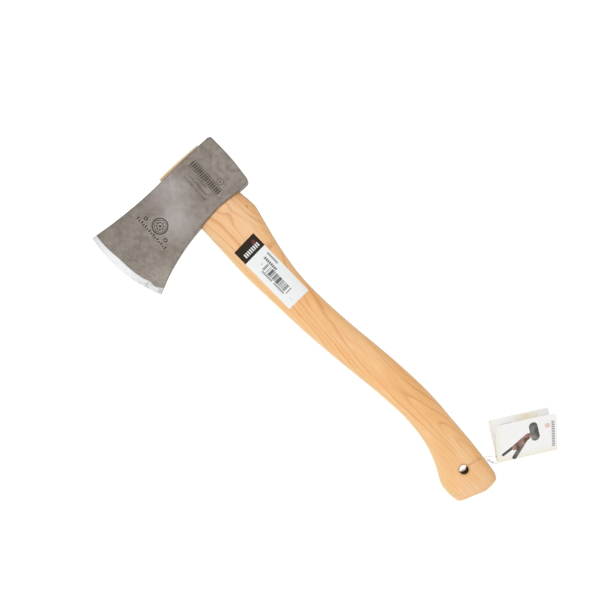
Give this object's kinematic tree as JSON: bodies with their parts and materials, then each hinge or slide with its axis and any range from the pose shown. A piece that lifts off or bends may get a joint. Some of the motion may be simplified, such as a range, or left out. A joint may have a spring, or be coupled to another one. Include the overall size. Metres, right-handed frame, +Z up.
{
  "type": "hatchet",
  "caption": "Forestry hatchet with a forged splitting head wedged on a curved ash handle, a paper label on the grip and a folded card tag on a nylon loop through its hang hole.",
  "frame": {"origin": "on the ground under the middle of the hatchet's own box (head, handle, wedges and label), the loop and the tag not counted", "axes": "+X from the head along the handle to its knob, +Y from the cutting edge to the poll, +Z up through the thickness of the head that lies on its flank"},
  "size_m": [0.4834, 0.2375, 0.0332],
  "materials": {
    "forged_steel": "forged and blasted, dark grey, with a bright ground bevel along the cutting edge",
    "ash": "sanded and lightly varnished ash with visible cathedral grain",
    "beech": "dry sawn hardwood",
    "bright_steel": "plain turned steel",
    "paper": "matt white printed sticker with a black header",
    "card": "matt printed card",
    "nylon": "clear nylon"
  },
  "bodies": {
    "hatchet": {"axe_head": "forged_steel", "handle": "ash", "hardwood_wedge": "beech", "ring_wedge": "bright_steel", "paper_label": "paper"},
    "hang_loop": {"nylon_loop": "nylon", "loop_lock": "nylon"},
    "tag_back": {"tag_back_leaf": "card"},
    "tag_front": {"tag_front_leaf": "card"}
  },
  "joints": [
    {"name": "loop_swing", "type": "hinge", "parent": "hatchet", "child": "hang_loop", "pos_m": [0.19953, 0.0469, 0.012], "axis": [0, 0, 1], "range_deg": [-5, 24]},
    {"name": "tag_pivot", "type": "hinge", "parent": "hang_loop", "child": "tag_back", "pos_m": [0.21541, 0.08332, 0.01174], "axis": [0, 0, 1], "range_deg": [-10, 18]},
    {"name": "tag_fold", "type": "hinge", "parent": "tag_back", "child": "tag_front", "pos_m": [0.21904, 0.0767, 0.0129], "axis": [0.5015, 0.8547, -0.134], "range_deg": [-12, 149]}
  ]
}
